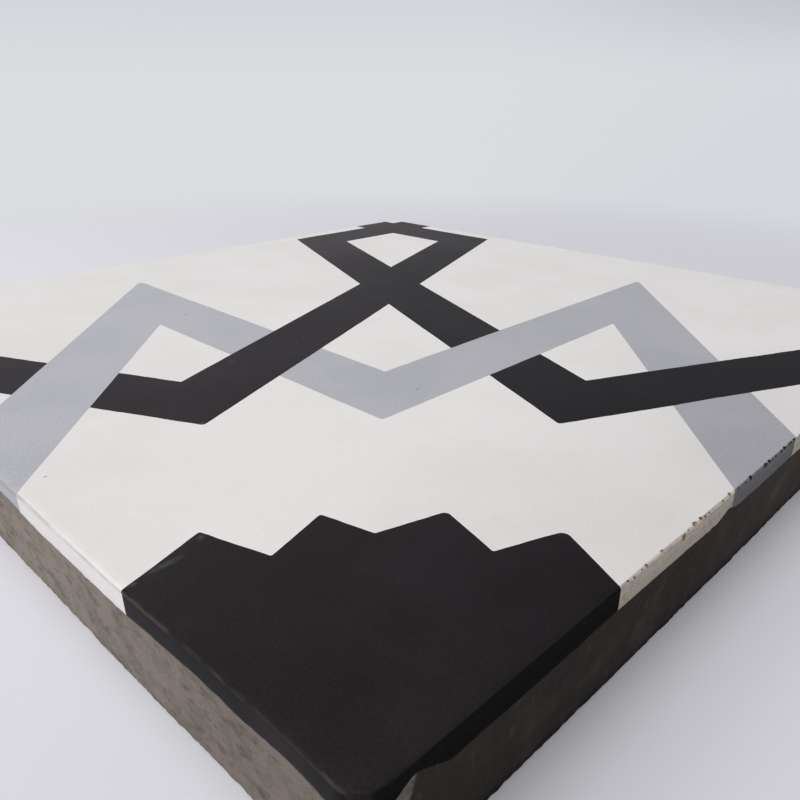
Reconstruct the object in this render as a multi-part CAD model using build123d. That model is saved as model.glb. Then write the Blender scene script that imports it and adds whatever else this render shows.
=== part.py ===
import os
from math import atan2, degrees

from build123d import *

# Encaustic cement tile, inlaid with a pattern of interlaced straps.
# A face layer, poured in compartments of three colours, lies on a mortar backing.
# The tile lies flat, face up. The origin is the middle of its underside.

# Tile body, in millimetres
SIDE = 200.0               # edge of the face
THICKNESS = 16.0           # face to underside
FACE_DEPTH = 4.0           # coloured layer
DRAFT_INSET = 0.5          # setback of the underside from the face's edge, on each side
ARRIS_RADIUS = 0.6         # rounding of the face's edge
CORNER_RADIUS = 1.0        # upright corners
NEAR_CORNER_RADIUS = 3.5   # the upright corner at the star, rubbed rounder than the rest

# The pattern is in plan coordinates from its own corner, X along one edge and Y along the other.
# The straps are symmetric about the diagonal, apart from which passes over at each crossing.
PATTERN_OFFSET = 0.4       # the pattern's corner from the tile's near edges, towards the far ones
GREY_WIDTH = 16.4
BLACK_WIDTH = 16.0
STRAP_TIP_RADIUS = 0.7     # outer side of a strap's turn
STRAP_CROOK_RADIUS = 0.3   # inner side of a strap's turn

# Centre line of the grey strap: from the tile's edge over a peak to the valley on the diagonal
GREY_START = 84.0
GREY_PEAK = (63.1, 153.0)
GREY_VALLEY = 61.7

# Centre line of a black strap: from the tile's edge round a knee to the band along the far edge
BLACK_START = 156.7
BLACK_KNEE = (34.6, 83.6)
BLACK_FAR_TURN = 149.2
FAR_BAND_INSET = 13.9      # centre line of the band from the far edge

# Star in the near corner: the hand-made outline of its quarter, by turns a tip and a notch
STAR_LEFT = 40.3           # where the outline leaves the left edge
STAR_TIPS = [(12.5, 44.6), (26.2, 36.9), (38.6, 25.3), (45.7, 11.0)]
STAR_NOTCHES = [(15.8, 33.6), (28.1, 28.2), (35.6, 14.9)]
STAR_RIGHT = 40.2          # where the outline leaves the right edge
STAR_TIP_RADII = [0.3, 0.4, 0.9, 1.0]
STAR_NOTCH_RADIUS = 0.3

OVERRUN = 30.0             # outlines run this far past the tile's edges, which trim them
PATTERN_CORNER = Pos(PATTERN_OFFSET - SIDE / 2, PATTERN_OFFSET - SIDE / 2)
SEAM_LEVEL = THICKNESS - FACE_DEPTH
MIDDLE_FIELD_OFFSET = 8.0  # a white field centred nearer the diagonal than this lies across it


def mirrored(point):
    return (point[1], point[0])


def mirrored_line(half, middle):
    """A line symmetric about the diagonal: its first half, the point on the diagonal, the rest."""
    return half + [(middle, middle)] + [mirrored(point) for point in half[::-1]]


def rounded_face(points, radii):
    return make_face(FilletPolyline(*points, radius=radii, close=True))


def carried_on(end, neighbour):
    """The end of a line, moved on past the tile's edge."""
    return end + (end - neighbour).normalized() * OVERRUN


def strap(points, width):
    """Band of the given width along a centre line, with mitred, slightly rounded turns."""
    line = [Vector(*point) for point in points]
    line[0] = carried_on(line[0], line[1])
    line[-1] = carried_on(line[-1], line[-2])
    runs = [(end - start).normalized() for start, end in zip(line, line[1:])]
    left_side = []
    right_side = []
    left_radii = []
    right_radii = []
    for place, run_in, run_out in zip(line, runs[:1] + runs, runs + runs[-1:]):
        mean_run = (run_in + run_out).normalized()
        to_left = Vector(-mean_run.Y, mean_run.X) * (width / 2 / mean_run.dot(run_in))
        turns_left = run_in.cross(run_out).Z > 0
        left_side.append(place + to_left)
        right_side.append(place - to_left)
        left_radii.append(STRAP_CROOK_RADIUS if turns_left else STRAP_TIP_RADIUS)
        right_radii.append(STRAP_TIP_RADIUS if turns_left else STRAP_CROOK_RADIUS)
    return rounded_face(left_side + right_side[::-1], left_radii + right_radii[::-1])


def grey_band():
    return strap(mirrored_line([(0, GREY_START), GREY_PEAK], GREY_VALLEY), GREY_WIDTH)


def black_bands():
    """Two mirrored straps that cross on the diagonal and again near the far corner."""
    far_band = SIDE - FAR_BAND_INSET
    line = [(0, BLACK_START), BLACK_KNEE, (far_band, BLACK_FAR_TURN), (far_band, SIDE)]
    return strap(line, BLACK_WIDTH) + strap([mirrored(point) for point in line], BLACK_WIDTH)


def star_quarter():
    """The star's outline, closed round the outside of the tile's corner."""
    points = [STAR_TIPS[0]]
    radii = [STAR_TIP_RADII[0]]
    for notch, tip, tip_radius in zip(STAR_NOTCHES, STAR_TIPS[1:], STAR_TIP_RADII[1:]):
        points += [notch, tip]
        radii += [STAR_NOTCH_RADIUS, tip_radius]
    left_end = carried_on(Vector(0, STAR_LEFT), Vector(*points[0]))
    right_end = carried_on(Vector(STAR_RIGHT, 0), Vector(*points[-1]))
    outside = [right_end, (-OVERRUN, -OVERRUN), left_end]
    return rounded_face(points + outside, radii + 3 * [STAR_NOTCH_RADIUS])


def woven(grey, black):
    """Both straps with their gaps: they pass over each other in turn along the grey strap."""
    crossings = (grey & black).faces().sort_by(lambda face: face.center().X - face.center().Y)
    return grey - crossings[1::2], black - crossings[0::2]


def tile_blank():
    """The whole tile as pressed, tapering to its underside, with worn corners and arris."""
    half = SIDE / 2
    corners = [(-half, -half), (half, -half), (half, half), (-half, half)]
    outline = rounded_face(corners, [NEAR_CORNER_RADIUS] + 3 * [CORNER_RADIUS])
    draft = degrees(atan2(DRAFT_INSET, THICKNESS))
    blank = extrude(Pos(0, 0, THICKNESS) * outline, amount=-THICKNESS, taper=draft)
    return fillet(blank.faces().sort_by(Axis.Z)[-1].edges(), ARRIS_RADIUS)


def between(blank, low, high):
    """The part of the tile between two levels."""
    slab = Box(2 * SIDE, 2 * SIDE, high - low, align=(Align.CENTER, Align.CENTER, Align.MIN))
    return blank & Pos(0, 0, low) * slab


def inlay(face_layer, outline):
    """The part of the face layer inside an outline of the pattern, as deep as the layer."""
    prism = extrude(PATTERN_CORNER * Pos(0, 0, SEAM_LEVEL) * outline, amount=FACE_DEPTH)
    return face_layer & prism


def to_the_right(solid):
    """How far a solid lies towards the tile's right corner from the diagonal."""
    return solid.center().X - solid.center().Y


def away_from_star(solid):
    return solid.center().X + solid.center().Y


def white_fields(white):
    """The white solids by name: left of the diagonal, on it and right of it, from the star on."""
    sides = {"left": [], "middle": [], "right": []}
    for solid in white.solids().sort_by(away_from_star):
        if abs(to_the_right(solid)) < MIDDLE_FIELD_OFFSET:
            sides["middle"].append(solid)
        else:
            sides["left" if to_the_right(solid) < 0 else "right"].append(solid)
    return {
        f"white_{side}_{number}": solid
        for side, solids in sides.items()
        for number, solid in enumerate(solids, start=1)
    }


def main():
    blank = tile_blank()
    face_layer = between(blank, SEAM_LEVEL, THICKNESS)
    grey_outline, black_outline = woven(grey_band(), black_bands())
    grey = inlay(face_layer, grey_outline)
    black = inlay(face_layer, black_outline)
    star = inlay(face_layer, star_quarter())
    white = face_layer - grey - black - star

    nodes = {"mortar_backing": between(blank, 0, SEAM_LEVEL), "corner_star": star}
    for colour, straps in (("grey", grey), ("black", black)):
        pieces = zip(("left", "middle", "right"), straps.solids().sort_by(to_the_right))
        nodes.update({f"{colour}_strap_{place}": piece for place, piece in pieces})
    nodes.update(white_fields(white))

    os.makedirs("parts", exist_ok=True)
    for name, piece in nodes.items():
        export_step(piece, f"parts/{name}.step")


main()
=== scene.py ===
import math
import random

import bpy
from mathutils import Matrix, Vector


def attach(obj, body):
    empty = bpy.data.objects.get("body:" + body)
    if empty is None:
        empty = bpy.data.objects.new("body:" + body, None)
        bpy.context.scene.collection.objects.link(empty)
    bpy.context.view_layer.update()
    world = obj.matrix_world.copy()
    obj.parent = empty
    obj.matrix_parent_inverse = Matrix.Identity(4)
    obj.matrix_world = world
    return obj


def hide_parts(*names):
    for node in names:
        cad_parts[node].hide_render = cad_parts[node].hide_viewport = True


# Encaustic cement tile with a pattern of straps, lying face up.
# The worn tile is modelled as one block, which is then cut into the mortar backing and the
# coloured pours, so that neighbouring pours share one arris, one chip or one stretch of side.
# Sizes are millimetres in the CAD frame: the origin is the middle of the underside, Z is up.

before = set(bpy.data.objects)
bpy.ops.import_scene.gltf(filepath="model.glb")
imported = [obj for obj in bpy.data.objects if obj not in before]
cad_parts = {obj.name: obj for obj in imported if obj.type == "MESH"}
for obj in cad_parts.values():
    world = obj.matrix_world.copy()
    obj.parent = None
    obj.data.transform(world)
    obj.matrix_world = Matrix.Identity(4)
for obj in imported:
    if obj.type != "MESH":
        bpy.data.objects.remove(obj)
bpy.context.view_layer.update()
mm = 0.001
touch = 0.01    # millimetres within which points count as level or in line

tileBody = {
    "half": 100.0,         # half the width of the face
    "height": 16.0,
    "seam": 12.55,         # mean height of the joint between mortar and coloured layer
    "draft": 0.75,         # how far each side leans in from the seam down to the underside
    "nearCorner": 3.7,     # rounding of the upright corner at the star
    "otherCorners": 1.3,
}


def setMode(mode):
    if bpy.context.object and bpy.context.object.mode != mode:
        bpy.ops.object.mode_set(mode=mode)


def takeUp(*pieces):
    setMode("OBJECT")
    bpy.ops.object.select_all(action="DESELECT")
    for piece in pieces:
        piece.select_set(True)
    bpy.context.view_layer.objects.active = pieces[0]


def startSelecting(piece, kind):
    # leaves nothing selected in the mesh, ready for a selection by points, edges or faces
    takeUp(piece)
    setMode("EDIT")
    bpy.ops.mesh.select_mode(type=kind)
    bpy.ops.mesh.select_all(action="DESELECT")
    setMode("OBJECT")


def editPoints(piece, wanted):
    # enters edit mode with the points selected that lie where wanted
    startSelecting(piece, "VERT")
    for point in piece.data.vertices:
        point.select = wanted(point.co / mm)
    setMode("EDIT")


def editEdges(piece, wanted):
    # does the same with edges, and says how many it found
    startSelecting(piece, "EDGE")
    points = piece.data.vertices
    found = 0
    for edge in piece.data.edges:
        start, end = (points[number].co / mm for number in edge.vertices)
        edge.select = wanted(start, end)
        found += edge.select
    setMode("EDIT")
    return found


def startMesh(name):
    piece = bpy.context.object  # the primitive just added
    piece.name = name
    bpy.ops.object.transform_apply(location=True, rotation=True, scale=True)
    return piece


def copyOf(piece, name):
    duplicate = piece.copy()
    duplicate.data = piece.data.copy()
    duplicate.name = name
    bpy.context.scene.collection.objects.link(duplicate)
    return duplicate


def cut(piece, tool, operation):
    takeUp(piece)
    modifier = piece.modifiers.new("cut", "BOOLEAN")
    modifier.object = tool
    modifier.operation = operation
    modifier.solver = "MANIFOLD"
    bpy.ops.object.modifier_apply(modifier=modifier.name)


def clouds(name, size):
    texture = bpy.data.textures.new(name, "CLOUDS")
    texture.noise_scale = size * mm
    return texture


def weigh(piece, name, weightAt):
    group = piece.vertex_groups.new(name=name)
    for point in piece.data.vertices:
        weight = weightAt(point.co / mm)
        if weight > 0:
            group.add([point.index], min(weight, 1.0), "REPLACE")
    return group.name


def push(piece, texture, depth, group, direction="NORMAL", middle=1.0):
    # with middle 1 the texture only pushes inwards, by up to the depth
    takeUp(piece)
    modifier = piece.modifiers.new("push", "DISPLACE")
    modifier.texture = texture
    modifier.texture_coords = "LOCAL"
    modifier.strength = depth * mm
    modifier.mid_level = middle
    modifier.direction = direction
    modifier.vertex_group = group
    bpy.ops.object.modifier_apply(modifier=modifier.name)


def squareLoop(name, half, height, nearCorner, otherCorners, cell):
    # rounded square of short edges at one height, with no face yet
    bpy.ops.mesh.primitive_plane_add(size=2 * half * mm, location=(0, 0, height * mm))
    piece = startMesh(name)
    editPoints(piece, lambda p: p.x < 0 and p.y < 0)
    bpy.ops.mesh.bevel(offset=nearCorner * mm, segments=12, affect="VERTICES")
    editPoints(piece, lambda p: min(abs(p.x), abs(p.y)) > half - touch and max(p.x, p.y) > 0)
    bpy.ops.mesh.bevel(offset=otherCorners * mm, segments=5, affect="VERTICES")
    bpy.ops.mesh.select_all(action="SELECT")
    bpy.ops.mesh.delete(type="ONLY_FACE")
    # the sides are divided twice, into edges of about a cell, and the corners' short edges stay
    cuts = round(math.sqrt(2 * half / cell)) - 1
    for _ in range(2):
        editEdges(piece, lambda start, end: (end - start).length > 5 * cell)
        bpy.ops.mesh.subdivide(number_cuts=cuts)
    bpy.ops.mesh.select_all(action="SELECT")
    return piece


def climb(profile):
    # the selected loop climbs a profile of (half width, height)
    for (oldHalf, oldHeight), (half, height) in zip(profile, profile[1:]):
        bpy.ops.mesh.extrude_edges_move(
            TRANSFORM_OT_translate={"value": (0, 0, (height - oldHeight) * mm)})
        scale = half / oldHalf
        bpy.ops.transform.resize(value=(scale, scale, 1), center_override=(0, 0, 0))


def closeEnds(piece, bottom):
    bpy.ops.mesh.edge_face_add()
    editPoints(piece, lambda p: abs(p.z - bottom) < 0.001)
    bpy.ops.mesh.edge_face_add()
    bpy.ops.mesh.select_all(action="SELECT")
    bpy.ops.mesh.normals_make_consistent(inside=False)
    setMode("OBJECT")


def thicken(sheet, move):
    # extrudes a whole sheet into a closed block
    takeUp(sheet)
    setMode("EDIT")
    bpy.ops.mesh.select_all(action="SELECT")
    bpy.ops.mesh.extrude_region_move(TRANSFORM_OT_translate={"value": Vector(move) * mm})
    bpy.ops.mesh.select_all(action="SELECT")
    bpy.ops.mesh.normals_make_consistent(inside=False)
    setMode("OBJECT")


def markMaterials(piece, number):
    # two slots, 0 for cast faces and 1 for broken ones; the number is that of all faces so far
    for name in ("castFace", "brokenFace"):
        piece.data.materials.append(bpy.data.materials.get(name) or bpy.data.materials.new(name))
    piece.data.polygons.foreach_set("material_index", [number] * len(piece.data.polygons))


# The worn block

tileSkin = {
    "cell": 0.5,             # length of the edges along a side
    "row": 0.5,              # height of the rows on a side
    "inside": 0.05,          # how far the block starts inside the CAD model's face
    "arris": 0.35,           # rounding of the face's edge
    "arrisSteps": 4,
    "margins": [1.3, 3.0],   # loops on the face, from its edge
    "below": -1.0,           # the block starts below the floor, and is trimmed there
    "faceDrop": 0.02,        # the face lies this far under the CAD model's
}


def skinProfile():
    half, top = tileBody["half"], tileBody["height"] - tileSkin["faceDrop"]
    radius, steps = tileSkin["arris"], tileSkin["arrisSteps"]
    bottom, arrisStart = tileSkin["below"], top - radius
    rows = round((arrisStart - bottom) / tileSkin["row"])
    profile = []
    for row in range(rows + 1):
        height = bottom + (arrisStart - bottom) * row / rows
        lean = tileBody["draft"] * max(0.0, 1 - height / tileBody["seam"])
        profile.append((half - tileSkin["inside"] - lean, height))
    edge = profile[-1][0]
    for step in range(1, steps + 1):
        turn = math.radians(90 * step / steps)
        profile.append((edge - radius * (1 - math.cos(turn)), arrisStart + radius * math.sin(turn)))
    return profile + [(half - margin, top) for margin in tileSkin["margins"]]


def makeBlock():
    profile = skinProfile()
    half, bottom = profile[0]
    corners = tileBody["nearCorner"], tileBody["otherCorners"]
    piece = squareLoop("tileBlock", half, bottom, *corners, tileSkin["cell"])
    climb(profile)
    closeEnds(piece, bottom)
    markMaterials(piece, 0)
    print("tile block:", len(piece.data.polygons), "faces")
    return piece


wear = {
    # broad waves of all sides, as cast
    "sideWave": {"size": 28.0, "depth": 0.12, "middle": 1.0},
    # lumps, pits and sand of the mortar's sides
    "mortarLumps": {"size": 4.0, "depth": 0.22, "middle": 0.6},
    "mortarPits": {"size": 1.1, "depth": 0.35, "middle": 0.65},
    # the face's edge, rubbed unevenly
    "arrisWear": {"size": 1.6, "depth": 0.12, "middle": 0.9},
}
wearEnds = {
    "face": 0.1,            # the waves end this far under the CAD model's face
    "seam": (-0.4, 0.2),    # the mortar's lumps fade out between these, from the seam
    "arris": 0.6,           # the rubbing fades out this far below the rounding
    "outside": (98.95, 99.2),       # and between these, from the tile's middle
}
# the face's edge is sharper on the two near sides: how much, beyond the star and along it
sharpEdge = {
    "right": {"share": 1.0, "starShare": 0.35},
    "left": {"share": 0.5, "starShare": 0.0},
    "starEnd": (-62.0, -60.4),
    "outside": 98.9,        # from here outwards
    "corners": (90.0, 95.0),        # it fades out towards both corners
}
settled = {
    "held": 1.5,            # the points nearer than this move all the way
    # places where a side leans in: where, how far it moves and the reach
    "places": [
        {"at": (-99.8, -80.2, 14.0), "move": (0.4, 0, 0), "reach": 26.0},
        {"at": (-99.8, -90.1, 12.0), "move": (0.25, 0, 0), "reach": 9.0},
        {"at": (10.9, -99.8, 14.0), "move": (0, 0.3, 0), "reach": 34.0},
    ],
}


def ramp(value, start, end):
    return max(0.0, min(1.0, (value - start) / (end - start)))


def outward(p):
    return max(abs(p.x), abs(p.y))


def sharpness(side, along, outside):
    # along and outside are a point's distances from the tile's middle, along the side and across it
    if outside < sharpEdge["outside"] or outside < abs(along):
        return 0.0
    start = sharpEdge[side]["starShare"]
    share = start + (sharpEdge[side]["share"] - start) * ramp(along, *sharpEdge["starEnd"])
    return share * (1 - ramp(abs(along), *sharpEdge["corners"]))


def wearBlock(piece):
    top, seam = tileBody["height"], tileBody["seam"]
    face = top - tileSkin["arris"]
    lumpsFade = [seam + height for height in wearEnds["seam"]]

    def worn(p):
        sharp = max(sharpness("right", p.x, -p.y), sharpness("left", p.y, -p.x))
        rubbed = ramp(p.z, face - wearEnds["arris"], face) * ramp(outward(p), *wearEnds["outside"])
        return rubbed * (1 - sharp)

    groups = {
        "sideWave": weigh(piece, "sides", lambda p: 1 - ramp(p.z, face, top - wearEnds["face"])),
        "mortarLumps": weigh(piece, "mortar", lambda p: 1 - ramp(p.z, *lumpsFade)),
        "mortarPits": "mortar",
        "arrisWear": weigh(piece, "arris", worn),
    }
    for name, group in groups.items():
        look = wear[name]
        push(piece, clouds(name, look["size"]), look["depth"], group, middle=look["middle"])

    # the rounding of the sharper edges is pulled out towards the corner that it would have
    reach = tileSkin["arris"]
    limit = tileBody["half"] - tileSkin["inside"]

    def pulled(side, along, outside, height):
        if height < face:
            return 0.0
        return sharpness(side, along, outside) * ramp(limit - outside, 0.0, reach)

    rightEdge = weigh(piece, "rightEdge", lambda p: pulled("right", p.x, -p.y, p.z))
    push(piece, None, -reach, rightEdge, "Y", 0.0)
    leftEdge = weigh(piece, "leftEdge", lambda p: pulled("left", p.y, -p.x, p.z))
    push(piece, None, -reach, leftEdge, "X", 0.0)
    for lean in settled["places"]:
        place = Vector(lean["at"])
        editPoints(piece, lambda p: (p - place).length < settled["held"])
        bpy.ops.transform.translate(
            value=Vector(lean["move"]) * mm, use_proportional_edit=True,
            proportional_edit_falloff="SMOOTH", proportional_size=lean["reach"] * mm)
    setMode("OBJECT")
    print("tile block worn")


# Breaks along the face's edge, which show the inside of the cement

edgeBreak = {
    # the white's edge on the right near side, broken along a ragged line
    "from": -59.7, "to": -28.0,
    "face": (-99.62, 16.25),        # y and z of the break where it leaves the face
    "foot": (-99.96, 14.5),
    "cell": 0.2,
    "thickness": 2.0,               # of the tool that cuts it
    "teeth": {"size": 0.5, "depth": 0.6},
    "swells": {"size": 3.2, "depth": 0.3},
    # x and radius of the notches that reach deeper
    "notches": [(-57.7, 0.2), (-56.5, 0.22), (-54.5, 0.2), (-53.4, 0.28), (-49.3, 0.3), (-43.4, 0.2),
                (-42.4, 0.24), (-40.4, 0.36), (-38.5, 0.32), (-37.5, 0.26), (-36.2, 0.2), (-31.9, 0.2),
                (-29.5, 0.3)],
    "notchHeight": 15.8,
    "seed": 3,
}
edgePits = {
    # pits in the grey's edge beside it
    "places": [(-26.7, 0.26), (-24.1, 0.18), (-22.3, 0.42), (-19.7, 0.2), (-18.8, 0.16), (-17.2, 0.24),
               (-16.6, 0.44), (-15.1, 0.38), (-13.8, 0.24), (-12.6, 0.3), (-10.2, 0.34), (-8.7, 0.42),
               (-6.6, 0.44), (-5.8, 0.36), (-4.5, 0.42), (-1.9, 0.34), (1.8, 0.26)],
    "y": -99.85, "z": 15.85,
    "seed": 7,
}
pitShape = {
    # drawn for each pit: how far it moves out and up, its turn in radians and its stretch along x
    "drawn": {"out": (0, 0.12), "up": (-0.12, 0.1), "turn": (0, 3), "stretch": (1.0, 1.5)},
    "depth": 0.9, "height": 1.1,        # shares of its radius
    "grain": {"size": 0.3, "depth": 0.2},
}


def makeBreak():
    (faceY, faceZ), (footY, footZ) = edgeBreak["face"], edgeBreak["foot"]
    start, end = edgeBreak["from"], edgeBreak["to"]
    height = math.hypot(faceY - footY, faceZ - footZ)
    turn = math.atan2(faceZ - footZ, faceY - footY)
    middle = ((start + end) / 2 * mm, (faceY + footY) / 2 * mm, (faceZ + footZ) / 2 * mm)
    bpy.ops.mesh.primitive_grid_add(
        x_subdivisions=round((end - start) / edgeBreak["cell"]),
        y_subdivisions=round(height / edgeBreak["cell"]),
        size=mm, location=middle, rotation=(turn, 0, 0), scale=(end - start, height, 1))
    tool = startMesh("break")
    front = weigh(tool, "front", lambda p: 1.0)
    for name in ("teeth", "swells"):
        look = edgeBreak[name]
        push(tool, clouds(name, look["size"]), look["depth"], front, "Y", 0.5)
    thicken(tool, (0, -edgeBreak["thickness"], 0))
    return tool


def makePits(name, places, y, z, seed):
    seeded = random.Random(seed)
    pits = []
    for x, radius in places:
        out, up, turn, stretch = (seeded.uniform(*span) for span in pitShape["drawn"].values())
        bpy.ops.mesh.primitive_ico_sphere_add(
            subdivisions=3, radius=radius * mm, location=(x * mm, (y - out) * mm, (z + up) * mm),
            rotation=(turn, 0, 0), scale=(stretch, pitShape["depth"], pitShape["height"]))
        pits.append(startMesh(name))
    takeUp(*pits)
    bpy.ops.object.join()
    tool = bpy.context.object
    everywhere = weigh(tool, "everywhere", lambda p: 1.0)
    grain = pitShape["grain"]
    push(tool, clouds("pitGrain", grain["size"]), grain["depth"], everywhere, middle=0.5)
    return tool


def breakEdges(block):
    tools = [
        makeBreak(),
        makePits("notches", edgeBreak["notches"], edgeBreak["face"][0], edgeBreak["notchHeight"],
                 edgeBreak["seed"]),
        makePits("pits", edgePits["places"], edgePits["y"], edgePits["z"], edgePits["seed"]),
    ]
    for tool in tools:
        markMaterials(tool, 1)
        cut(block, tool, "DIFFERENCE")
        bpy.data.objects.remove(tool)
    print("edges broken")


# The mortar's own top, which meets the coloured layer in a wavy line round the sides

seamLine = {
    "half": 102.0,
    "foot": -3.0,
    "corners": (4.0, 2.0),      # rounding at the star and elsewhere
    "rings": [100.6, 99.6, 98.8, 97.6, 95.0],
    "waving": (95.5, 97.4),     # the waves grow between these distances from the middle
    "wave": {"size": 14.0, "depth": 0.8},
    "ripple": {"size": 2.5, "depth": 0.3},
    "held": 0.8,                # the points nearer than this to a rise climb all the way
    "rises": [
        # where the mortar climbs the side: x, y, height, reach and falloff
        (-28.9, -100.0, 0.9, 3.6, "SHARP"),
        (-93.5, -100.0, 2.3, 4.5, "LINEAR"),
        (-100.0, -21.0, 1.1, 15.0, "SMOOTH"),
    ],
}


def makeGround():
    half, foot, seam = seamLine["half"], seamLine["foot"], tileBody["seam"]
    profile = [(half, foot), (half, seam)] + [(ring, seam) for ring in seamLine["rings"]]
    piece = squareLoop("ground", half, foot, *seamLine["corners"], tileSkin["cell"])
    climb(profile)
    closeEnds(piece, foot)

    def onTop(p):
        return p.z > seam / 2

    rim = weigh(piece, "rim", lambda p: ramp(outward(p), *seamLine["waving"]) * onTop(p))
    for name in ("wave", "ripple"):
        look = seamLine[name]
        push(piece, clouds(name, look["size"]), look["depth"], rim, "Z", 0.5)
    for x, y, height, reach, falloff in seamLine["rises"]:
        editPoints(piece, lambda p: onTop(p) and math.hypot(p.x - x, p.y - y) < seamLine["held"])
        bpy.ops.transform.translate(
            value=(0, 0, height * mm), use_proportional_edit=True,
            proportional_edit_falloff=falloff, proportional_size=reach * mm)
        setMode("OBJECT")
    print("ground:", len(piece.data.polygons), "faces")
    return piece


# What the underside was cast on leaves it rough

bedFace = {
    "half": 103.0,
    "cells": 140,
    "thickness": 4.0,
    "bedLumps": {"size": 5.0, "depth": 0.2, "middle": 0.1},
    "bedGrit": {"size": 1.6, "depth": 0.25, "middle": 0.2},
}


def makeBed():
    bpy.ops.mesh.primitive_grid_add(
        x_subdivisions=bedFace["cells"], y_subdivisions=bedFace["cells"],
        size=2 * bedFace["half"] * mm, location=(0, 0, 0))
    piece = startMesh("bed")
    thicken(piece, (0, 0, -bedFace["thickness"]))
    face = weigh(piece, "face", lambda p: float(p.z > -bedFace["thickness"] / 2))
    for name in ("bedLumps", "bedGrit"):
        look = bedFace[name]
        push(piece, clouds(name, look["size"]), look["depth"], face, "Z", look["middle"])
    return piece


# Cutters for the pours, from the CAD nodes, with slightly hand-made walls

pourCut = {
    "merge": 0.0005,        # points of the CAD model's mesh nearer than this are one
    "straight": 0.5,        # degrees up to which its facets are taken together
    "sink": 8.0,            # the cutter's foot, below the wavy seam
    "cell": 1.5,            # longest edge along a wall
    "wander": {"size": 9.0, "depth": 0.3},
    "nibble": {"size": 1.6, "depth": 0.15},
    "rim": (96.6, 98.6),    # the walls' waviness fades out between these
    "side": 99.2,           # outside this no edge is divided
}


def makeCutter(node):
    tool = copyOf(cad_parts[node], node + "_cutter")
    tool.parent = None
    tool.hide_render = False
    takeUp(tool)
    setMode("EDIT")
    bpy.ops.mesh.select_mode(type="VERT")
    bpy.ops.mesh.select_all(action="SELECT")
    bpy.ops.mesh.remove_doubles(threshold=pourCut["merge"] * mm)
    bpy.ops.mesh.dissolve_limited(angle_limit=math.radians(pourCut["straight"]))
    foot = tileBody["seam"]
    editPoints(tool, lambda p: p.z < foot + touch)
    bpy.ops.transform.translate(value=(0, 0, (pourCut["sink"] - foot) * mm))

    def isLong(start, end):
        level = abs(end.z - start.z) < touch
        inside = min(outward(start), outward(end)) <= pourCut["side"]
        return level and inside and (end - start).length > pourCut["cell"]

    while editEdges(tool, isLong):
        bpy.ops.mesh.subdivide(number_cuts=1)
    setMode("OBJECT")
    walls = weigh(tool, "walls", lambda p: 1 - ramp(outward(p), *pourCut["rim"]))
    for name in ("wander", "nibble"):
        look = pourCut[name]
        for direction in ("X", "Y"):
            push(tool, clouds(name + direction, look["size"]), look["depth"], walls, direction, 0.5)
    return tool


def dropFlaps(piece):
    # a cut can leave two faces back to back, with nothing between them
    startSelecting(piece, "FACE")
    onPoints = {}
    for face in piece.data.polygons:
        onPoints.setdefault(tuple(sorted(face.vertices)), []).append(face)
    for faces in onPoints.values():
        for face in faces:
            face.select = len(faces) > 1
    setMode("EDIT")
    bpy.ops.mesh.delete(type="FACE")
    bpy.ops.mesh.select_all(action="SELECT")
    bpy.ops.mesh.delete_loose()
    setMode("OBJECT")


smoothing = {
    "angle": 38.0,          # degrees up to which neighbouring faces are shaded as one
    "level": 0.9999,        # a face whose normal rises more than this is level, and stays flat
}


def finishCast(cast):
    cast.vertex_groups.clear()
    dropFlaps(cast)
    takeUp(cast)
    bpy.ops.object.shade_smooth_by_angle(angle=math.radians(smoothing["angle"]))
    for face in cast.data.polygons:
        if face.normal.z > smoothing["level"]:
            face.use_smooth = False
    print(cast.name + ":", len(cast.data.polygons), "faces")


def makeCasts():
    block = makeBlock()
    wearBlock(block)
    breakEdges(block)
    ground = makeGround()
    bed = makeBed()
    backing = copyOf(block, "mortar_backing_cast")
    cut(backing, ground, "INTERSECT")
    cut(backing, bed, "DIFFERENCE")
    cut(block, ground, "DIFFERENCE")
    casts = {"mortar_backing": backing}
    for node in sorted(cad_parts):
        if node == "mortar_backing":
            continue
        tool = makeCutter(node)
        casts[node] = copyOf(block, node + "_cast")
        cut(casts[node], tool, "INTERSECT")
        bpy.data.objects.remove(tool)
    for tool in (block, ground, bed):
        bpy.data.objects.remove(tool)
    for cast in casts.values():
        finishCast(cast)
    return casts


casts = makeCasts()


# Materials

def shade(red, green, blue):
    # a colour as a screen shows it, 0 to 255
    def linear(value):
        value /= 255
        return value / 12.92 if value <= 0.04045 else ((value + 0.055) / 1.055) ** 2.4
    return (linear(red), linear(green), linear(blue), 1.0)


def newMaterial(name, roughness, gloss):
    material = bpy.data.materials.new(name)
    material.use_nodes = True
    shader = material.node_tree.nodes["Principled BSDF"]
    shader.inputs["Roughness"].default_value = roughness
    shader.inputs["Specular IOR Level"].default_value = gloss
    return material, material.node_tree, shader


def addNode(tree, kind, inputs=None, **settings):
    node = tree.nodes.new(kind)
    for name, value in settings.items():
        setattr(node, name, value)
    for socket, value in (inputs or {}).items():
        if isinstance(value, bpy.types.NodeSocket):
            tree.links.new(value, node.inputs[socket])
        else:
            node.inputs[socket].default_value = value
    return node


def millimetres(tree, stretch=(1, 1, 1)):
    # object coordinates in millimetres, stretched along an axis where its factor is below 1
    place = addNode(tree, "ShaderNodeTexCoord").outputs["Object"]
    scale = [factor / mm for factor in stretch]
    return addNode(tree, "ShaderNodeMapping", {"Vector": place, "Scale": scale}).outputs["Vector"]


def noise(tree, look):
    # a look's noise is its size in millimetres, its detail and its roughness
    size, detail, roughness = look["noise"]
    return addNode(tree, "ShaderNodeTexNoise", {
        "Vector": millimetres(tree, look.get("stretch", (1, 1, 1))),
        "Scale": 1 / size, "Detail": detail, "Roughness": roughness}).outputs["Fac"]


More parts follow.
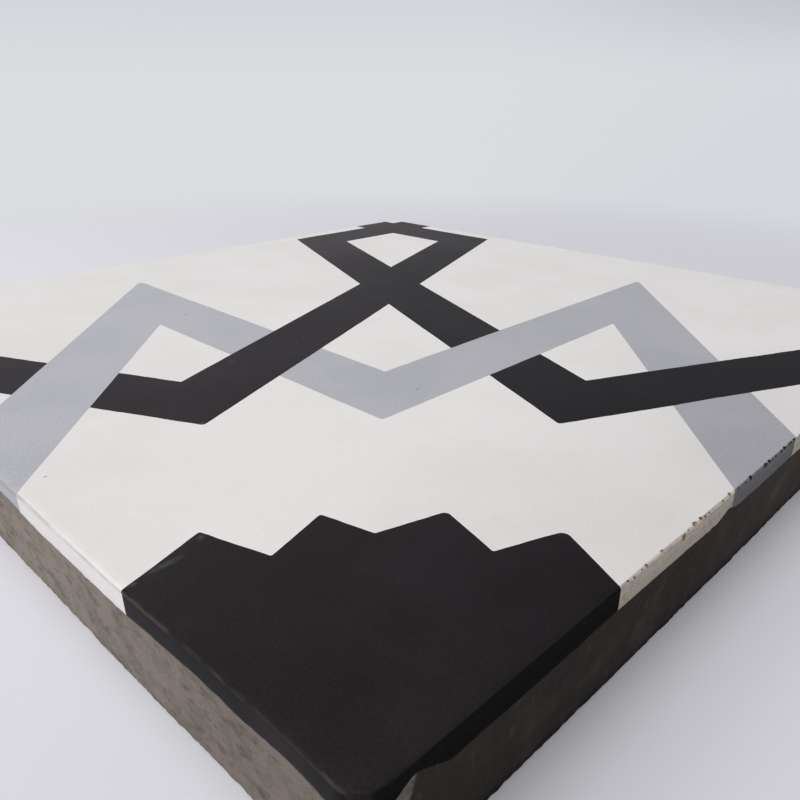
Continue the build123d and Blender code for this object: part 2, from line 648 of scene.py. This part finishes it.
def between(tree, value, low, high, toLow=0.0, toHigh=1.0):
    # the value from low to high, spread over toLow to toHigh and held beyond them
    return addNode(tree, "ShaderNodeMapRange", {
        "Value": value, "From Min": low, "From Max": high, "To Min": toLow, "To Max": toHigh,
    }, interpolation_type="SMOOTHSTEP").outputs["Result"]


def patches(tree, look):
    # soft patches of noise: a look's span is low and high, and what they become if not 0 and 1
    return between(tree, noise(tree, look), *look["span"])


def combine(tree, first, second, operation="ADD"):
    node = tree.nodes.new("ShaderNodeMath")
    node.operation = operation
    for socket, value in zip(node.inputs, (first, second)):
        if isinstance(value, bpy.types.NodeSocket):
            tree.links.new(value, socket)
        else:
            socket.default_value = value
    return node.outputs["Value"]


def times(tree, *values):
    result = values[0]
    for value in values[1:]:
        result = combine(tree, result, value, "MULTIPLY")
    return result


def mix(tree, amount, first, second, mode="MIX"):
    node = tree.nodes.new("ShaderNodeMix")
    node.data_type = "RGBA"
    node.blend_type = mode
    for number, value in ((0, amount), (6, first), (7, second)):
        if isinstance(value, bpy.types.NodeSocket):
            tree.links.new(value, node.inputs[number])
        else:
            node.inputs[number].default_value = value
    return node.outputs[2]


def finishMaterial(tree, shader, colour, height, bump):
    tree.links.new(colour, shader.inputs["Base Color"])
    relief = addNode(tree, "ShaderNodeBump", {"Height": height, "Strength": 1.0, "Distance": bump * mm})
    tree.links.new(relief.outputs["Normal"], shader.inputs["Normal"])


def axes(tree):
    return addNode(tree, "ShaderNodeSeparateXYZ", {"Vector": millimetres(tree)}).outputs


def specks(tree, cell, size, share):
    # few small spots: one in each cell, kept in a share of the cells
    spots = addNode(tree, "ShaderNodeTexVoronoi", {
        "Vector": millimetres(tree), "Scale": 1 / cell, "Randomness": 1.0}).outputs
    near = between(tree, spots["Distance"], size / cell, 0.4 * size / cell)
    pick = addNode(tree, "ShaderNodeSeparateColor", {"Color": spots["Color"]}).outputs["Red"]
    return times(tree, near, combine(tree, pick, share, "LESS_THAN"))


cements = {
    "white_cement": {
        "colour": (229, 225, 224), "cloud": (225, 221, 219), "grainShare": 0.05,
        # x - y from and to, which runs from the left corner to the right one, and the brightness there, a
        # painted shade and painted sheen across the face
        "across": (-170.0, 10.0, 0.93, 1.01),
        # brightness factors of painted light: painted sheen at the far corner, painted shade at the right
        # near edge and painted light on the left side
        "farSheen": 1.0, "nearEdgeShade": 0.88, "leftSideLight": 1.06,
        "speck": (160, 152, 144), "specks": {"cell": 9.0, "size": 0.45, "share": 0.16},
        # the white's dust is darkened to paint shade over its rubbed left edge
        "dustAndArrisLight": (208, 190, 183), "dustAndArrisLightShare": 0.75,
        "rightSide": (200, 188, 176), "rightPatch": (188, 183, 165), "gloss": 0.2, "roughness": 0.55,
        # marks on the face: x, y, half length, half width, degrees from X and how much they show
        "mark": (150, 150, 140),
        "marks": [(-94.9, -25.8, 0.5, 0.35, 40, 0.9), (-8.4, -24.2, 0.6, 0.4, 0, 0.5)],
    },
    "grey_cement": {
        "colour": (179, 178, 184), "cloud": (174, 174, 180), "grainShare": 0.16,
        "across": (-60.0, 60.0, 1.0, 0.94),
        "farSheen": 1.0, "nearEdgeShade": 0.83, "leftSideLight": 1.0,
        "speck": (96, 98, 100), "specks": {"cell": 12.0, "size": 0.4, "share": 0.2},
        "dustAndArrisLight": (146, 136, 126), "dustAndArrisLightShare": 0.6,
        "rightSide": (120, 120, 121), "rightPatch": (113, 114, 112), "gloss": 0.2, "roughness": 0.55,
        "mark": (106, 108, 110),
        "marks": [(-36.3, 34.9, 0.8, 0.6, 0, 0.7), (-31.8, -40.6, 0.6, 0.5, 30, 0.6)],
    },
    "black_cement": {
        "colour": (27, 24, 25), "cloud": (32, 29, 31), "grainShare": 0.3,
        # the black's painted sheen: much brighter towards the left corner, darker towards the right
        "across": (-75.0, 100.0, 1.8, 0.6),
        # the black's painted sheen at the far corner, painted shade at the right near edge and on its left
        # side
        "farSheen": 2.5, "nearEdgeShade": 0.9, "leftSideLight": 0.5,
        "speck": (78, 76, 78), "specks": {"cell": 8.0, "size": 0.3, "share": 0.2},
        # the black's dust is a lighter line, a painted highlight on its rubbed left edge
        "dustAndArrisLight": (78, 70, 64), "dustAndArrisLightShare": 0.6,
        "rightSide": (22, 21, 22), "rightPatch": (18, 17, 18), "gloss": 0.05, "roughness": 0.5,
        "mark": (92, 92, 94),
        "marks": [(-93.8, -58.4, 3.4, 0.75, 4, 0.4), (-87.6, -56.2, 1.1, 0.7, 40, 0.35),
                  (-98.4, -59.3, 0.8, 0.5, 0, 0.5), (-47.7, -2.5, 0.7, 0.5, 0, 0.6),
                  (-27.3, -0.6, 0.7, 0.4, 20, 0.6), (-68.6, -25.5, 0.6, 0.5, 0, 0.6)],
    },
}


cementSkin = {
    # what the three cements share
    "clouding": {"noise": (22.0, 4.0, 0.6), "span": (0.38, 0.66)},
    "grain": {"noise": (0.42, 3.0, 0.7), "span": (0.35, 0.65)},
    "relief": 0.02,
    # painted sheen grows towards the far corner between these
    "far": (40.0, 200.0),               # where x + y nears the far corner
    # painted shade along the right near edge, by x and y
    "shadedNearEdge": {"x": (50.0, 0.0), "y": (-50.0, -110.0)},
    # painted light on the left side: lighter white, darker black
    "leftSideLight": (-99.3, -99.5),         # x of the side on the left of the star
    "speckShare": 0.8,
    "markPatches": {"noise": (0.8, 3.0, 0.5), "span": (0.3, 0.6, 0.5, 1.0)},
    "markDepth": 4.0,
    # the side on the right of the star, and the stains on it
    "rightSide": {"y": (-99.2, -99.45), "z": (15.96, 15.9)},
    "stain": {"noise": (2.2, 4.0, 0.6), "span": (0.4, 0.65)},
    "stainLower": (15.2, 13.8, -0.3, 0.3),
    "fleck": {"noise": (0.7, 3.0, 0.6), "span": (0.5, 0.68, 0.0, 0.22)},
    "sideRoughness": 0.98,
    # the rubbed edge on the left of the star, and the dust on it, whose colour also paints the light and
    # shade of that edge
    "dustAndArrisLightEdge": {"x": (-99.2, -99.5), "foot": (15.3, 15.6), "top": (15.97, 15.85)},
    "dustAndArrisLight": {"noise": (2.4, 4.0, 0.6), "span": (0.3, 0.55), "stretch": (1, 0.4, 1)},
}


def grey(tree, value):
    return addNode(tree, "ShaderNodeCombineColor", {
        "Red": value, "Green": value, "Blue": value}).outputs["Color"]


def dull(tree, colour, value):
    return mix(tree, 1.0, colour, grey(tree, value), "MULTIPLY")


def markAt(tree, mark):
    # soft elongated spot on the face, broken up by fine noise
    x, y, length, width, turn, share = mark
    own = addNode(tree, "ShaderNodeMapping", {
        "Vector": addNode(tree, "ShaderNodeTexCoord").outputs["Object"],
        "Location": Vector((x, y, tileBody["height"])) * mm,
        "Rotation": (0, 0, math.radians(turn)),
        "Scale": Vector((length, width, cementSkin["markDepth"])) * mm}, vector_type="TEXTURE")
    distance = addNode(tree, "ShaderNodeVectorMath", {0: own.outputs["Vector"]}, operation="LENGTH")
    spot = between(tree, distance.outputs["Value"], 1.0, 0.2)   # full near the middle, gone at its edge
    return times(tree, spot, patches(tree, cementSkin["markPatches"]), share)


def grainAndPaintedLight(tree, look, grain):
    # the cement's grain, and painted light and shade over the tile: painted shade and sheen across it,
    # painted sheen at the far corner, painted shade at the right near edge and painted light on the left
    # side
    place = axes(tree)
    change = look["grainShare"] / 2
    grainy = between(tree, grain, *cementSkin["grain"]["span"], 1 - change, 1 + change)
    # painted shade and painted sheen across the face
    across = between(tree, combine(tree, place["X"], place["Y"], "SUBTRACT"), *look["across"])
    # painted sheen towards the far corner
    far = between(tree, combine(tree, place["X"], place["Y"]), *cementSkin["far"], 1.0, look["farSheen"])
    # painted shade along the right near edge
    edge = cementSkin["shadedNearEdge"]
    shadedNearEdge = times(tree, between(tree, place["X"], *edge["x"]), between(tree, place["Y"], *edge["y"]))
    shadeAtNearEdge = combine(tree, 1.0, times(tree, shadedNearEdge, 1 - look["nearEdgeShade"]), "SUBTRACT")
    # painted light on the white's left side and painted shade on the black's
    leftSideLight = between(tree, place["X"], *cementSkin["leftSideLight"], 1.0, look["leftSideLight"])
    return times(tree, grainy, across, far, shadeAtNearEdge, leftSideLight)


def sideStain(tree, look):
    # the side on the right of the star is stained in patches, which spread towards its foot
    lower = between(tree, axes(tree)["Z"], *cementSkin["stainLower"])
    uneven = combine(tree, lower, noise(tree, cementSkin["stain"]))
    stained = between(tree, uneven, *cementSkin["stain"]["span"])
    stain = mix(tree, stained, shade(*look["rightSide"]), shade(*look["rightPatch"]))
    return dull(tree, stain, combine(tree, 1.0, patches(tree, cementSkin["fleck"]), "SUBTRACT"))


def edgeDustAndArrisLight(tree, look):
    # dust sits in patches along the rubbed edge on the left of the star, and its colour also paints that
    # edge's light: painted shade on the white, a painted highlight on the black
    place = axes(tree)
    edge = cementSkin["dustAndArrisLightEdge"]
    height = times(tree, between(tree, place["Z"], *edge["foot"]), between(tree, place["Z"], *edge["top"]))
    dustAndArrisLight = times(tree, patches(tree, cementSkin["dustAndArrisLight"]), look["dustAndArrisLightShare"])
    return times(tree, between(tree, place["X"], *edge["x"]), height, dustAndArrisLight)


def cementMaterial(name, look):
    material, tree, shader = newMaterial(name, look["roughness"], look["gloss"])
    grain = noise(tree, cementSkin["grain"])
    clouding = patches(tree, cementSkin["clouding"])
    colour = mix(tree, clouding, shade(*look["colour"]), shade(*look["cloud"]))
    # grain, with painted light, shade and sheen
    colour = dull(tree, colour, grainAndPaintedLight(tree, look, grain))
    spots = times(tree, specks(tree, **look["specks"]), cementSkin["speckShare"])
    colour = mix(tree, spots, colour, shade(*look["speck"]))
    for mark in look["marks"]:
        colour = mix(tree, markAt(tree, mark), colour, shade(*look["mark"]))
    place, edge = axes(tree), cementSkin["rightSide"]
    side = times(tree, between(tree, place["Y"], *edge["y"]), between(tree, place["Z"], *edge["z"]))
    colour = mix(tree, side, colour, sideStain(tree, look))
    roughness = between(tree, side, 0.0, 1.0, look["roughness"], cementSkin["sideRoughness"])
    tree.links.new(roughness, shader.inputs["Roughness"])
    # dust on the rubbed left edge, with painted shade and highlight there
    colour = mix(tree, edgeDustAndArrisLight(tree, look), colour, shade(*look["dustAndArrisLight"]))
    finishMaterial(tree, shader, colour, grain, cementSkin["relief"])
    return material


mortarLook = {
    "colour": (145, 134, 127), "light": (164, 153, 145), "dark": (96, 88, 84), "moss": (130, 124, 113),
    "gloss": 0.1, "roughness": 0.85, "relief": 0.12,
    "blotches": {"noise": (5.0, 5.0, 0.6), "span": (0.42, 0.62)},
    "streaks": {"noise": (1.8, 4.0, 0.65), "span": (0.5, 0.68, 0.0, 0.7), "stretch": (0.5, 0.5, 1)},
    "sand": {"noise": (0.5, 4.0, 0.75), "span": (0.5, 0.7, 0.0, 0.5)},
    "pits": {"noise": (1.1, 3.0, 0.6), "span": (0.6, 0.72, 0.0, 0.6), "stretch": (0.5, 0.5, 1)},
    "nearCorner": (-20.0, -96.0, 1.0, 0.72),    # darker towards the near corner, by y
}
mortarStain = {
    # the side on the right of the star
    # the foot colour is a painted contact shadow along the bottom of the side
    "colour": (48, 45, 41), "rust": (52, 45, 40), "foot": (26, 24, 22), "scratch": (104, 96, 84),
    "rusty": {"noise": (7.0, 4.0, 0.5), "span": (0.45, 0.62)},
    "patchy": {"noise": (9.0, 4.0, 0.5), "span": (0.2, 0.5, 0.8, 1.0)},
    "scratches": {"noise": (0.7, 2.0, 0.5), "span": (0.62, 0.72, 0.0, 0.22), "stretch": (1, 1, 0.2)},
    "side": (-98.0, -99.0),                     # it starts between these, by y
    "start": (-98.1, -97.5),                    # and between these along the side, leaning with height
    "lean": 0.3,
    "rightEnd": (-45.0, 0.0, 1.0, 1.65),        # brighter towards the right, by x
    # painted contact shadow: its height above the floor, and its strength where the side is clean and
    # where it is stained
    "contactShadeHeight": (1.6, 0.2),
    "contactShadeShare": (0.12, 0.9),                   # where the side is clean and where it is stained
}


def stainShare(tree, stain):
    # how much the stain covers
    x, y, z = axes(tree)
    leaning = combine(tree, x, times(tree, z, stain["lean"]), "SUBTRACT")
    start = between(tree, leaning, *stain["start"])
    side = between(tree, y, *stain["side"])
    return times(tree, side, start, patches(tree, stain["patchy"]))


def stainColour(tree, stain):
    colour = mix(tree, patches(tree, stain["rusty"]), shade(*stain["colour"]), shade(*stain["rust"]))
    colour = dull(tree, colour, between(tree, axes(tree)["X"], *stain["rightEnd"]))
    return mix(tree, patches(tree, stain["scratches"]), colour, shade(*stain["scratch"]))


def mortarMaterial(look, stain):
    material, tree, shader = newMaterial("mortar", look["roughness"], look["gloss"])
    place = axes(tree)
    sand, pits = (noise(tree, look[name]) for name in ("sand", "pits"))
    dark = shade(*look["dark"])
    colour = mix(tree, patches(tree, look["blotches"]), shade(*look["colour"]), shade(*look["moss"]))
    colour = mix(tree, patches(tree, look["streaks"]), colour, dark)
    colour = mix(tree, between(tree, sand, *look["sand"]["span"]), colour, shade(*look["light"]))
    colour = mix(tree, between(tree, pits, *look["pits"]["span"]), colour, dark)
    colour = dull(tree, colour, between(tree, place["Y"], *look["nearCorner"]))
    stained = stainShare(tree, stain)
    colour = mix(tree, stained, colour, stainColour(tree, stain))
    # painted contact shadow along the foot of the side, stronger where stained
    contactShadeShare = between(tree, stained, 0.0, 1.0, *stain["contactShadeShare"])
    foot = times(tree, between(tree, place["Z"], *stain["contactShadeHeight"]), contactShadeShare)
    colour = mix(tree, foot, colour, shade(*stain["foot"]))
    finishMaterial(tree, shader, colour, combine(tree, sand, pits), look["relief"])
    return material


materials = {name: cementMaterial(name, look) for name, look in cements.items()}
materials["mortar"] = mortarMaterial(mortarLook, mortarStain)
slots = {"grey": "grey_cement", "white": "white_cement", "black": "black_cement",
         "corner": "black_cement", "mortar": "mortar"}

brokenCement = {
    # light and dark colour of the inside of each cement, where the edge is broken; the grey's near-black
    # colours are painted shade in its small pits
    "white_cement": {"colour": (182, 168, 150), "dark": (126, 114, 98)},
    # the grey's dark colours are painted shade in its pits
    "grey_cement": {"colour": (70, 69, 68), "dark": (26, 25, 24)},
    "black_cement": {"colour": (70, 64, 58), "dark": (34, 32, 30)},
}
brokenSkin = {
    "sand": {"noise": (0.5, 4.0, 0.7), "span": (0.4, 0.6)},
    "relief": 0.08, "roughness": 0.9, "gloss": 0.1,
}


def brokenMaterial(name, look):
    material, tree, shader = newMaterial(name, brokenSkin["roughness"], brokenSkin["gloss"])
    sand = noise(tree, brokenSkin["sand"])
    light = between(tree, sand, *brokenSkin["sand"]["span"])
    colour = mix(tree, light, shade(*look["dark"]), shade(*look["colour"]))
    finishMaterial(tree, shader, colour, sand, brokenSkin["relief"])
    return material


broken = {slot: brokenMaterial("broken_" + slot, look) for slot, look in brokenCement.items()}
for node, cast in casts.items():
    slot = slots[node.split("_")[0]]
    cast.material_slots[0].material = materials[slot]
    cast.material_slots[1].material = broken.get(slot, materials[slot])
    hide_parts(node)
    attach(cast, "root")
print("pieces dressed")


# Floor, light and camera

setting = {
    "floor": (218, 217, 223),
    "floorRadius": 60.0,                # metres
    # the backdrop low and high, in the middle and towards the right
    "low": (219, 220, 224), "high": (210, 212, 218),
    "lowRight": (214, 216, 221), "highRight": (187, 188, 198),
    "rise": (0.0, 0.12), "towardsRight": (0.1, 0.75),   # parts of the direction's length
    "nearFloor": (0.17, 0.38),          # metres over which the lit floor gives way to the backdrop
    "ambient": {"colour": (0.93, 0.96, 1.0, 1.0), "strength": 0.214},
    "sun": {"from": (-90.0, 75.0), "strength": 1.77, "spread": 60.0},   # degrees from +Y and up
    "softboxes": {
        "high": {"place": (-0.32, 0.32, 0.4), "size": 0.3, "power": 1.0},
        "low": {"place": (-0.55, -0.05, 0.15), "size": 0.3, "power": 0.55},
    },
}


def paperColour(tree, direction):
    # the studio's paper behind everything, by the direction in which it is seen
    way = addNode(tree, "ShaderNodeVectorMath", {0: direction}, operation="NORMALIZE").outputs["Vector"]
    x, y, z = addNode(tree, "ShaderNodeSeparateXYZ", {"Vector": way}).outputs
    height = between(tree, z, *setting["rise"])
    right = between(tree, combine(tree, x, y, "SUBTRACT"), *setting["towardsRight"])
    middle = mix(tree, height, shade(*setting["low"]), shade(*setting["high"]))
    side = mix(tree, height, shade(*setting["lowRight"]), shade(*setting["highRight"]))
    return mix(tree, right, middle, side)


def seenRays(tree):
    # the paper shows to these rays, and gives no light
    rays = addNode(tree, "ShaderNodeLightPath").outputs
    shown = combine(tree, rays["Is Camera Ray"], rays["Is Glossy Ray"], "MAXIMUM")
    return combine(tree, shown, rays["Is Transmission Ray"], "MAXIMUM")


def makeFloor():
    bpy.ops.mesh.primitive_circle_add(
        vertices=96, radius=setting["floorRadius"], fill_type="NGON", location=(0, 0, 0))
    floor = startMesh("floor")
    material, tree, shader = newMaterial("floorPaper", 0.9, 0.0)
    shader.inputs["Base Color"].default_value = shade(*setting["floor"])
    place = addNode(tree, "ShaderNodeTexCoord").outputs["Object"]
    distance = addNode(tree, "ShaderNodeVectorMath", {0: place}, operation="LENGTH").outputs["Value"]
    far = times(tree, between(tree, distance, *setting["nearFloor"]), seenRays(tree))
    paper = addNode(tree, "ShaderNodeEmission", {"Color": paperColour(tree, place), "Strength": 1.0})
    both = addNode(tree, "ShaderNodeMixShader", {0: far, 1: shader.outputs[0], 2: paper.outputs[0]})
    tree.links.new(both.outputs[0], tree.nodes["Material Output"].inputs["Surface"])
    floor.data.materials.append(material)


def makeWorld():
    world = bpy.data.worlds.new("studio")
    bpy.context.scene.world = world
    world.use_nodes = True
    tree = world.node_tree
    light = tree.nodes["Background"]
    light.inputs["Color"].default_value = setting["ambient"]["colour"]
    light.inputs["Strength"].default_value = setting["ambient"]["strength"]
    direction = addNode(tree, "ShaderNodeTexCoord").outputs["Generated"]
    paper = addNode(tree, "ShaderNodeBackground", {
        "Color": paperColour(tree, direction), "Strength": 1.0})
    both = addNode(tree, "ShaderNodeMixShader", {
        0: seenRays(tree), 1: light.outputs[0], 2: paper.outputs[0]})
    tree.links.new(both.outputs[0], tree.nodes["World Output"].inputs["Surface"])


def aimLamp(name, kind, toward, place=(0, 0, 1)):
    lamp = bpy.data.lights.new(name, kind)
    holder = bpy.data.objects.new(name, lamp)
    bpy.context.scene.collection.objects.link(holder)
    holder.location = place
    holder.rotation_euler = Vector(toward).to_track_quat("Z", "Y").to_euler()
    return lamp


def makeLight():
    sun = setting["sun"]
    turn, height = (math.radians(angle) for angle in sun["from"])
    toward = (math.sin(turn) * math.cos(height), math.cos(turn) * math.cos(height), math.sin(height))
    lamp = aimLamp("daylight", "SUN", toward)
    lamp.energy = sun["strength"]
    lamp.angle = math.radians(sun["spread"])
    for name, box in setting["softboxes"].items():
        lamp = aimLamp(name + "Softbox", "AREA", box["place"], box["place"])
        lamp.size = box["size"]
        lamp.energy = box["power"]


viewpoint = {
    "place": (-125.614, -130.663, 67.96),
    "turn": (64.278, -0.123, -45.787),     # degrees about X, Y and Z
    "lens": 33.22, "sensor": 36.0,
    "shift": (-0.016, 0.0495),
    "nearest": 0.005,                      # metres from which it sees
}


def makeCamera():
    bpy.ops.object.camera_add(
        location=Vector(viewpoint["place"]) * mm,
        rotation=[math.radians(angle) for angle in viewpoint["turn"]])
    camera = bpy.context.object
    camera.data.lens = viewpoint["lens"]
    camera.data.sensor_width = viewpoint["sensor"]
    camera.data.shift_x, camera.data.shift_y = viewpoint["shift"]
    camera.data.clip_start = viewpoint["nearest"]
    bpy.context.scene.camera = camera


makeFloor()
makeWorld()
makeLight()
makeCamera()
bpy.context.scene.view_settings.view_transform = "Standard"
